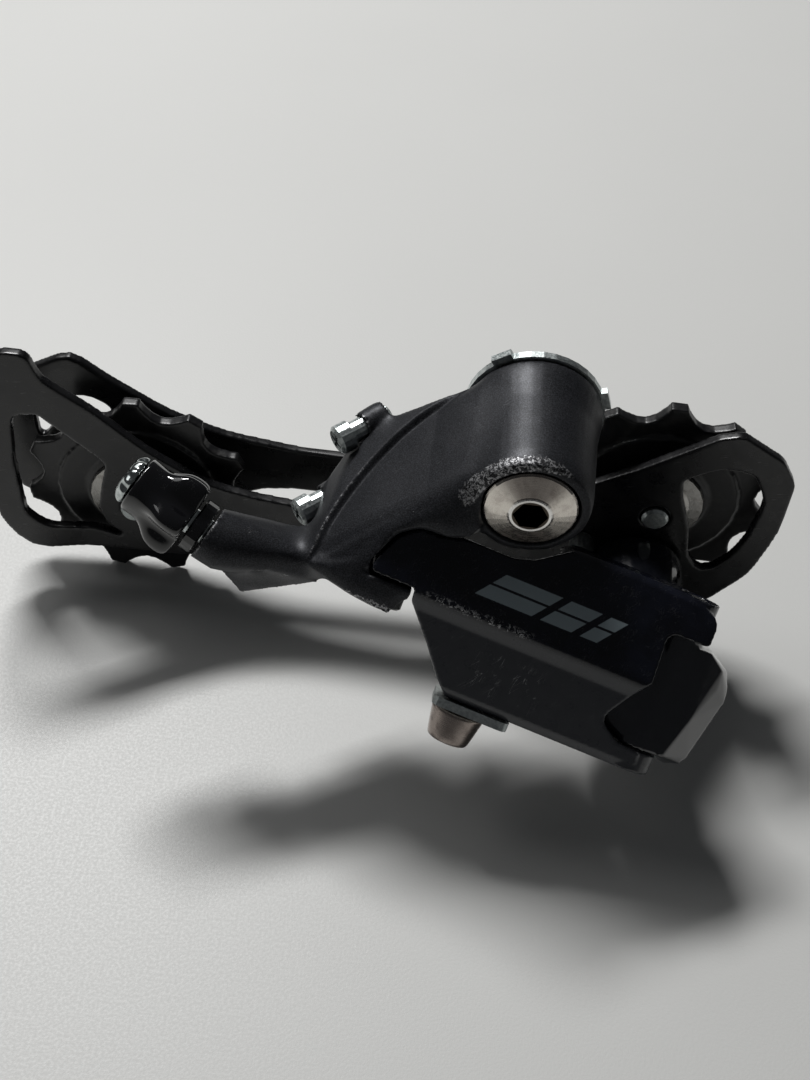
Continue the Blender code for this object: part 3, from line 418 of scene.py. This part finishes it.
CAST = shader("cast_paint", cast_body, Specular_IOR_Level=0.35)
LINK = shader("link_gloss", gloss_link, Coat_Weight=0.35, Coat_Roughness=0.07, Specular_IOR_Level=0.3)
NOSE = shader("nose_gloss", gloss_nose, Coat_Weight=1.0, Coat_Roughness=0.06)
PLATE = shader("plate_paint", black_plate)
ZINC = shader("zinc_plate", zinc(0.30, 0.46), Metallic=1.0)
CRIMP = shader("zinc_crimp", zinc(0.10, 0.20), Metallic=1.0)
RESIN = shader("pulley_resin_grain", resin)
GLOSS = shader("knob_gloss", gloss_plastic, Coat_Weight=0.5, Coat_Roughness=0.03)
WIRE = shader("spring_wire", spring_wire, Metallic=1.0)
RUBBER = shader("seal_rubber_soft", dull_rubber)
# The head's colour is set bright and darkened above and below its socket: painted shade for the bow-tie
# reflection of turned metal
HEAD = shader("turned_head", turned_nickel(
    BOLT_AXIS, (0, 0, 0), rgb(0.80, 0.75, 0.68), rgb(0.50, 0.44, 0.40), SOCKET_LIP),
    Metallic=1.0, Anisotropic=0.85)
CABLE = shader("cable_bolt_nickel", turned_nickel(
    LINK_AXIS, Vector(joints["cable_bolt_turn"]["pos_m"]), rgb(0.36, 0.31, 0.28), rgb(0.15, 0.12, 0.11)),
    Metallic=1.0, Anisotropic=0.8)
CAP = shader("dished_cap", turned_nickel(
    BOLT_AXIS, (0, 0, 0), rgb(0.42, 0.41, 0.39), rgb(0.22, 0.20, 0.18)), Metallic=1.0)

FINISH = {
    "hanger_stop_plate": ZINC, "mounting_bush": RUBBER, "mounting_bolt": HEAD, "mounting_seal": RUBBER,
    "bracket_body": CAST, "mounting_spring": WIRE, "limit_screw_high": ZINC, "limit_screw_low": ZINC,
    "body_angle_screw": ZINC, "barrel_bolt": ZINC, "barrel_knob": GLOSS, "barrel_detent_sleeve": GLOSS,
    "outer_link": LINK, "cable_clamp_plate": ZINC, "cable_fixing_bolt": CABLE, "inner_link": CAST,
    "knuckle_body": NOSE, "cage_spring": WIRE, "cage_outer_plate": PLATE, "cage_inner_plate": PLATE,
    "cage_axle": ZINC, "cage_stop_pin": ZINC,
}


def finish_of(name):
    """The material of a node."""
    if name in FINISH:
        return FINISH[name]
    if name.endswith("_pin"):
        return WIRE
    if "_cap_" in name:
        return CAP
    if name.endswith("_pulley"):
        return RESIN
    return ZINC


# ---- shapes -------------------------------------------------------------------------------

def paint(thing, material):
    """Give an object one material."""
    thing.data.materials.clear()
    thing.data.materials.append(material)


def soften(thing, width):
    """Round an object's sharp edges by a width in mm."""
    bevel = thing.modifiers.new("soft_edges", "BEVEL")
    bevel.width = width * MM
    bevel.segments = 2
    bevel.limit_method = "ANGLE"
    bevel.angle_limit = math.radians(28)
    bevel.use_clamp_overlap = True
    bevel.harden_normals = False
    smooth = thing.modifiers.new("shade", "WEIGHTED_NORMAL")
    smooth.keep_sharp = False


SOFT_WIDTH = {
    "hanger_stop_plate": 0.15, "limit_screw_high": 0.1, "limit_screw_low": 0.1, "body_angle_screw": 0.1,
    "cable_clamp_plate": 0.2, "mounting_bolt": 0.12,
}

for name, node in nodes.items():
    paint(node, finish_of(name))
    for polygon in node.data.polygons:
        polygon.use_smooth = True
    if name in SOFT_WIDTH:
        soften(node, SOFT_WIDTH[name])


def neighbours(points, edges, count):
    """The mean of each point's neighbours."""
    total = np.empty_like(points)
    for axis in range(3):
        total[:, axis] = (np.bincount(edges[:, 0], points[edges[:, 1], axis], len(points))
                          + np.bincount(edges[:, 1], points[edges[:, 0], axis], len(points)))
    return total / count


def relax(points, edges, count, passes):
    """Even out the voxel steps: each pass pulls in, then pushes out a little more, so nothing shrinks."""
    for turn in range(passes):
        for push in (0.55, -0.57):
            points = points + (neighbours(points, edges, count) - points) * push
    return points


def normals_of(mesh, points):
    """Vertex normals of a mesh once its points are moved."""
    mesh.vertices.foreach_set("co", (points * MM).ravel())
    mesh.update()
    found = np.empty(len(points) * 3)
    mesh.vertices.foreach_get("normal", found)
    return found.reshape(-1, 3)


# All in mm: how far a neighbour is looked for, the distance that means none, the distance from a
# neighbour at which a casting stays as it is, and the one over which it becomes free to flow
SEARCH = 6.0
NOTHING_NEAR = 9.0
HELD = 0.8
FREED_OVER = 3.0
# In mm: the most that flow() takes off a fold, and the most that it fills a hollow with
TRIM = 0.45
FILL = 2.6


def clear_of(points, name):
    """Distance in mm from each point to the nearest other node."""
    best = np.full(len(points), NOTHING_NEAR)
    for other, node in nodes.items():
        low, high = (np.array(corner) * 1000 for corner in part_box(other))
        near = np.all((points > low - SEARCH) & (points < high + SEARCH), axis=1)
        if other == name or not near.any():
            continue
        tree = BVHTree.FromPolygons([v.co * 1000 for v in node.data.vertices],
                                    [tuple(p.vertices) for p in node.data.polygons])
        for index in np.flatnonzero(near):
            hit = tree.find_nearest(Vector(points[index]), SEARCH)
            if hit[0] is not None:
                best[index] = min(best[index], hit[3])
    return best


def flow(name, mesh, points, edges, count, passes):
    """Let hollows fill to wide fillets and folds round off."""
    start = points.copy()
    outward = normals_of(mesh, points)
    free = np.clip((clear_of(points, name) - HELD) / FREED_OVER, 0, 1)
    for turn in range(passes):
        if turn % 20 == 0:
            normal = normals_of(mesh, points)
        drift = neighbours(points, edges, count) - points
        bend = (drift * normal).sum(1)
        level = drift - bend[:, None] * normal
        # outward bends move freely, inward ones only where they are sharper than a broad curve
        move = np.where(bend > 0, bend, np.minimum(bend + 0.005, 0))
        points = points + 0.5 * (move[:, None] * normal + 0.4 * level) * free[:, None]
        moved = ((points - start) * outward).sum(1)
        points = points + (np.clip(moved, -TRIM, FILL) - moved)[:, None] * outward
    return points


# The arc on the bracket's web, in mm in the plane of x and y
ARC_CENTRE = (0.7, -38.3)
ARC_RADIUS = 37.5
ARC_DEPTH = 1.1


def scoop(points, normal):
    """Depth of the hollow under the arc that runs from the housing's back down to the arm."""
    x, y, z = points.T
    below = ARC_RADIUS - np.hypot(x - ARC_CENTRE[0], y - ARC_CENTRE[1])
    step = np.clip(below / 0.7, 0, 1)
    reach = step * step * (3 - 2 * step) * np.exp(-np.maximum(below, 0) / 13.0)
    clear = np.clip((np.hypot(x, z) - 12.0) / 5.0, 0, 1) * np.clip((x + 38) / 4, 0, 1)
    return ARC_DEPTH * reach * clear * np.clip((normal[:, 2] - 0.5) / 0.25, 0, 1)


def casting(name, body, voxel, passes, fillets=0, hollow=None, added=()):
    """A node's shape again as a smooth casting that rides its body.

    voxel is the grain of its mesh in mm, passes and fillets are how often relax and flow turn,
    hollow gives a depth to press in and added the corners of one more solid.
    """
    whole = bmesh.new()
    whole.from_mesh(nodes[name].data)
    if added:
        hull = [whole.verts.new(Vector(point) * MM) for point in added]
        made = bmesh.ops.convex_hull(whole, input=hull)
        inside = made["geom_interior"] + made["geom_unused"]
        spare = {vertex for vertex in inside if isinstance(vertex, bmesh.types.BMVert)}
        bmesh.ops.delete(whole, geom=list(spare), context="VERTS")
    mesh = bpy.data.meshes.new(name + "_cast")
    whole.to_mesh(mesh)
    whole.free()
    piece = bpy.data.objects.new(name + "_cast", mesh)
    bpy.context.scene.collection.objects.link(piece)
    remesh = piece.modifiers.new("voxels", "REMESH")
    remesh.mode = "VOXEL"
    remesh.voxel_size = voxel * MM
    bpy.context.view_layer.update()
    fine = bpy.data.meshes.new_from_object(piece.evaluated_get(bpy.context.evaluated_depsgraph_get()))
    piece.modifiers.clear()
    piece.data = fine
    points = np.empty(len(fine.vertices) * 3)
    fine.vertices.foreach_get("co", points)
    points = points.reshape(-1, 3) * 1000
    edges = np.empty(len(fine.edges) * 2, dtype=np.int32)
    fine.edges.foreach_get("vertices", edges)
    edges = edges.reshape(-1, 2)
    count = np.bincount(edges.ravel(), minlength=len(points)).astype(float)[:, None]
    points = relax(points, edges, count, passes)
    if fillets:
        points = flow(name, fine, points, edges, count, fillets)
    if hollow:
        normal = normals_of(fine, points)
        points = points - normal * hollow(points, normal)[:, None]
    normals_of(fine, points)
    fine.shade_smooth()
    paint(piece, finish_of(name))
    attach(piece, body)
    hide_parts(name)
    return piece


def at_pin(u, w, v):
    """A point in mm beside the knuckle's outer pin: along the link, inboard, up the pin."""
    return LINK_END * 1000 + LINK_DIR * u + LINK_IN * w + LINK_AXIS * v


def lathed(name, replaced, body, joint, material, profile, lobes, power=1.0, bored=False):
    """A turned piece on a joint's axis from rows of (height, radius, extra radius on its lobes).

    A higher power makes the lobes narrower. bored joins the last row to the first, as a tube.
    """
    centre = Vector(joints[joint]["pos_m"])
    axis = Vector(joints[joint]["axis"])
    side = axis.orthogonal().normalized()
    across = axis.cross(side)
    around = lobes * (24 if lobes < 8 else 8)
    made = bmesh.new()
    rows = []
    for lift, inner, lobe in profile:
        row = []
        for step in range(around):
            angle = 2 * math.pi * step / around
            radius = inner + lobe * (0.5 + 0.5 * math.cos(lobes * angle)) ** power
            spoke = side * math.cos(angle) + across * math.sin(angle)
            row.append(made.verts.new(centre + (axis * lift + spoke * radius) * MM))
        rows.append(row)
    pairs = list(zip(rows, rows[1:]))
    if bored:
        pairs.append((rows[-1], rows[0]))
    else:
        made.faces.new(list(reversed(rows[0])))
        made.faces.new(rows[-1])
    for first, second in pairs:
        for step in range(around):
            after = (step + 1) % around
            made.faces.new((first[step], first[after], second[after], second[step]))
    bmesh.ops.recalc_face_normals(made, faces=made.faces)
    mesh = bpy.data.meshes.new(name)
    made.to_mesh(mesh)
    made.free()
    mesh.shade_smooth()
    piece = bpy.data.objects.new(name, mesh)
    bpy.context.scene.collection.objects.link(piece)
    smooth = piece.modifiers.new("round", "SUBSURF")
    smooth.levels = smooth.render_levels = 1
    paint(piece, material)
    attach(piece, body)
    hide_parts(replaced)
    return piece


APRON = [at_pin(u, w + deep, v) for deep in (0.1, 1.8) for u, w, v in (
    (1.5, -3.9, 9.4), (1.5, -4.0, -9.3), (-4.5, -3.6, 9.2), (-5.5, -4.4, 2.0), (-6.2, -3.4, -1.4),
    (-9.0, -2.4, -7.0), (-6.5, -2.1, -9.2))]

casting("bracket_body", "bracket", 0.42, 3, 340, scoop)
casting("outer_link", "outer_link", 0.32, 2)
casting("knuckle_body", "knuckle", 0.34, 2, added=APRON)
casting("inner_link", "inner_link", 0.45, 3)
casting("cage_outer_plate", "cage", 0.34, 4)
casting("cage_inner_plate", "cage", 0.34, 4)
casting("guide_pulley", "guide_pulley", 0.32, 5)
casting("tension_pulley", "tension_pulley", 0.32, 5)
lathed("knob_grip", "barrel_knob", "barrel_adjuster", "barrel_turn", GLOSS, (
    (2.95, 3.0, 0.0), (2.95, 4.6, 1.2), (3.15, 4.75, 2.3), (3.6, 4.8, 2.75), (5.0, 4.8, 2.95),
    (6.6, 4.75, 2.85), (7.8, 4.7, 2.35), (8.8, 4.65, 1.5), (9.8, 4.65, 0.75), (10.8, 4.7, 0.35),
    (12.0, 4.8, 0.25), (13.2, 4.9, 0.2), (13.7, 4.8, 0.1), (13.8, 4.5, 0.0), (13.8, 3.0, 0.0)), 5, 1.25)
lathed("barrel_end", "barrel_bolt", "barrel_adjuster", "barrel_turn", CRIMP, (
    (16.1, 1.3, 0.0), (16.1, 2.6, 0.0), (15.8, 3.3, 0.15), (15.2, 3.9, 0.3), (14.5, 4.2, 0.35),
    (14.05, 4.2, 0.2), (13.9, 3.8, 0.0), (13.85, 2.4, 0.0), (-4.0, 2.4, 0.0), (-4.0, 1.3, 0.0)),
    13, bored=True)
lathed("cable_bolt_cone", "cable_fixing_bolt", "cable_fixing_bolt", "cable_bolt_turn", CABLE, (
    (-4.2, 2.0, 0.31), (-6.3, 2.0, 0.31), (-6.6, 2.2, 0.25), (-6.7, 2.6, 0.0), (-6.7, 3.1, 0.0),
    (-6.4, 3.55, 0.0), (-6.0, 3.75, 0.0), (-1.9, 4.55, 0.0), (-1.3, 4.7, 0.0), (-1.0, 4.6, 0.0),
    (-1.0, 2.3, 0.0), (7.5, 2.3, 0.0)), 6)


# ---- floor, light and camera ---------------------------------------------------------------

def floor_grain(tree):
    """A pale desk top with a fine leathery grain."""
    where = tree.place()
    grain = tree.noise(where, 1.9, 2.0, 0.6)
    broad = tree.noise(where, 0.01, 3.0)
    colour = tree.mix(broad, rgb(0.70, 0.70, 0.68), rgb(0.74, 0.74, 0.72))
    return {"Base_Color": colour, "Roughness": tree.ramp(grain, 0.3, 0.7, 0.42, 0.55),
            "Normal": tree.bump(grain, 0.25, 0.10)}


FLOOR_SIZE = 4.0
FLOOR_GAP = 0.0005
bpy.ops.mesh.primitive_plane_add(size=FLOOR_SIZE, location=(0, 0, CAD_BOX[0][2] - FLOOR_GAP))
floor = bpy.context.object
floor.name = "floor"
paint(floor, shader("pale_floor", floor_grain))

world = bpy.data.worlds.new("studio")
bpy.context.scene.world = world
world.use_nodes = True
background = world.node_tree.nodes["Background"]
background.inputs["Color"].default_value = rgb(0.93, 0.96, 1.0)
background.inputs["Strength"].default_value = 0.045


LAMP_TARGET = Vector((0, 0, -0.03))


def lamp(name, place, size, power):
    """A rectangular soft light aimed at the part."""
    data = bpy.data.lights.new(name, "AREA")
    data.shape = "RECTANGLE"
    data.size, data.size_y = size
    data.energy = power
    made = bpy.data.objects.new(name, data)
    made.location = place
    made.rotation_euler = (LAMP_TARGET - Vector(place)).to_track_quat("-Z", "Y").to_euler()
    bpy.context.scene.collection.objects.link(made)


lamp("tube_behind", (-0.34, 0.55, 0.87), (0.42, 0.12), 9.6)
lamp("ceiling_left", (-0.75, 0.45, 0.85), (0.8, 0.6), 2.2)

# The camera's place in metres, and its tilt below the horizon and roll in radians
CAMERA_AT = (-0.0194, -0.2032, 0.1749)
ELEVATION = 0.805
ROLL = -0.113
camera = bpy.data.cameras.new("camera")
camera.sensor_fit = "VERTICAL"
camera.sensor_height = 36
camera.lens = 52.0
camera.clip_start = 0.005
view = bpy.data.objects.new("camera", camera)
look = Vector((0, math.cos(ELEVATION), -math.sin(ELEVATION)))
level_up = Vector((0, math.sin(ELEVATION), math.cos(ELEVATION)))
level_right = Vector((1, 0, 0))
right = level_right * math.cos(ROLL) - level_up * math.sin(ROLL)
upward = level_right * math.sin(ROLL) + level_up * math.cos(ROLL)
turn = Matrix((right, upward, -look)).transposed().to_4x4()
view.matrix_world = Matrix.Translation(CAMERA_AT) @ turn
bpy.context.scene.collection.objects.link(view)
bpy.context.scene.camera = view
bpy.context.scene.view_settings.view_transform = "Standard"
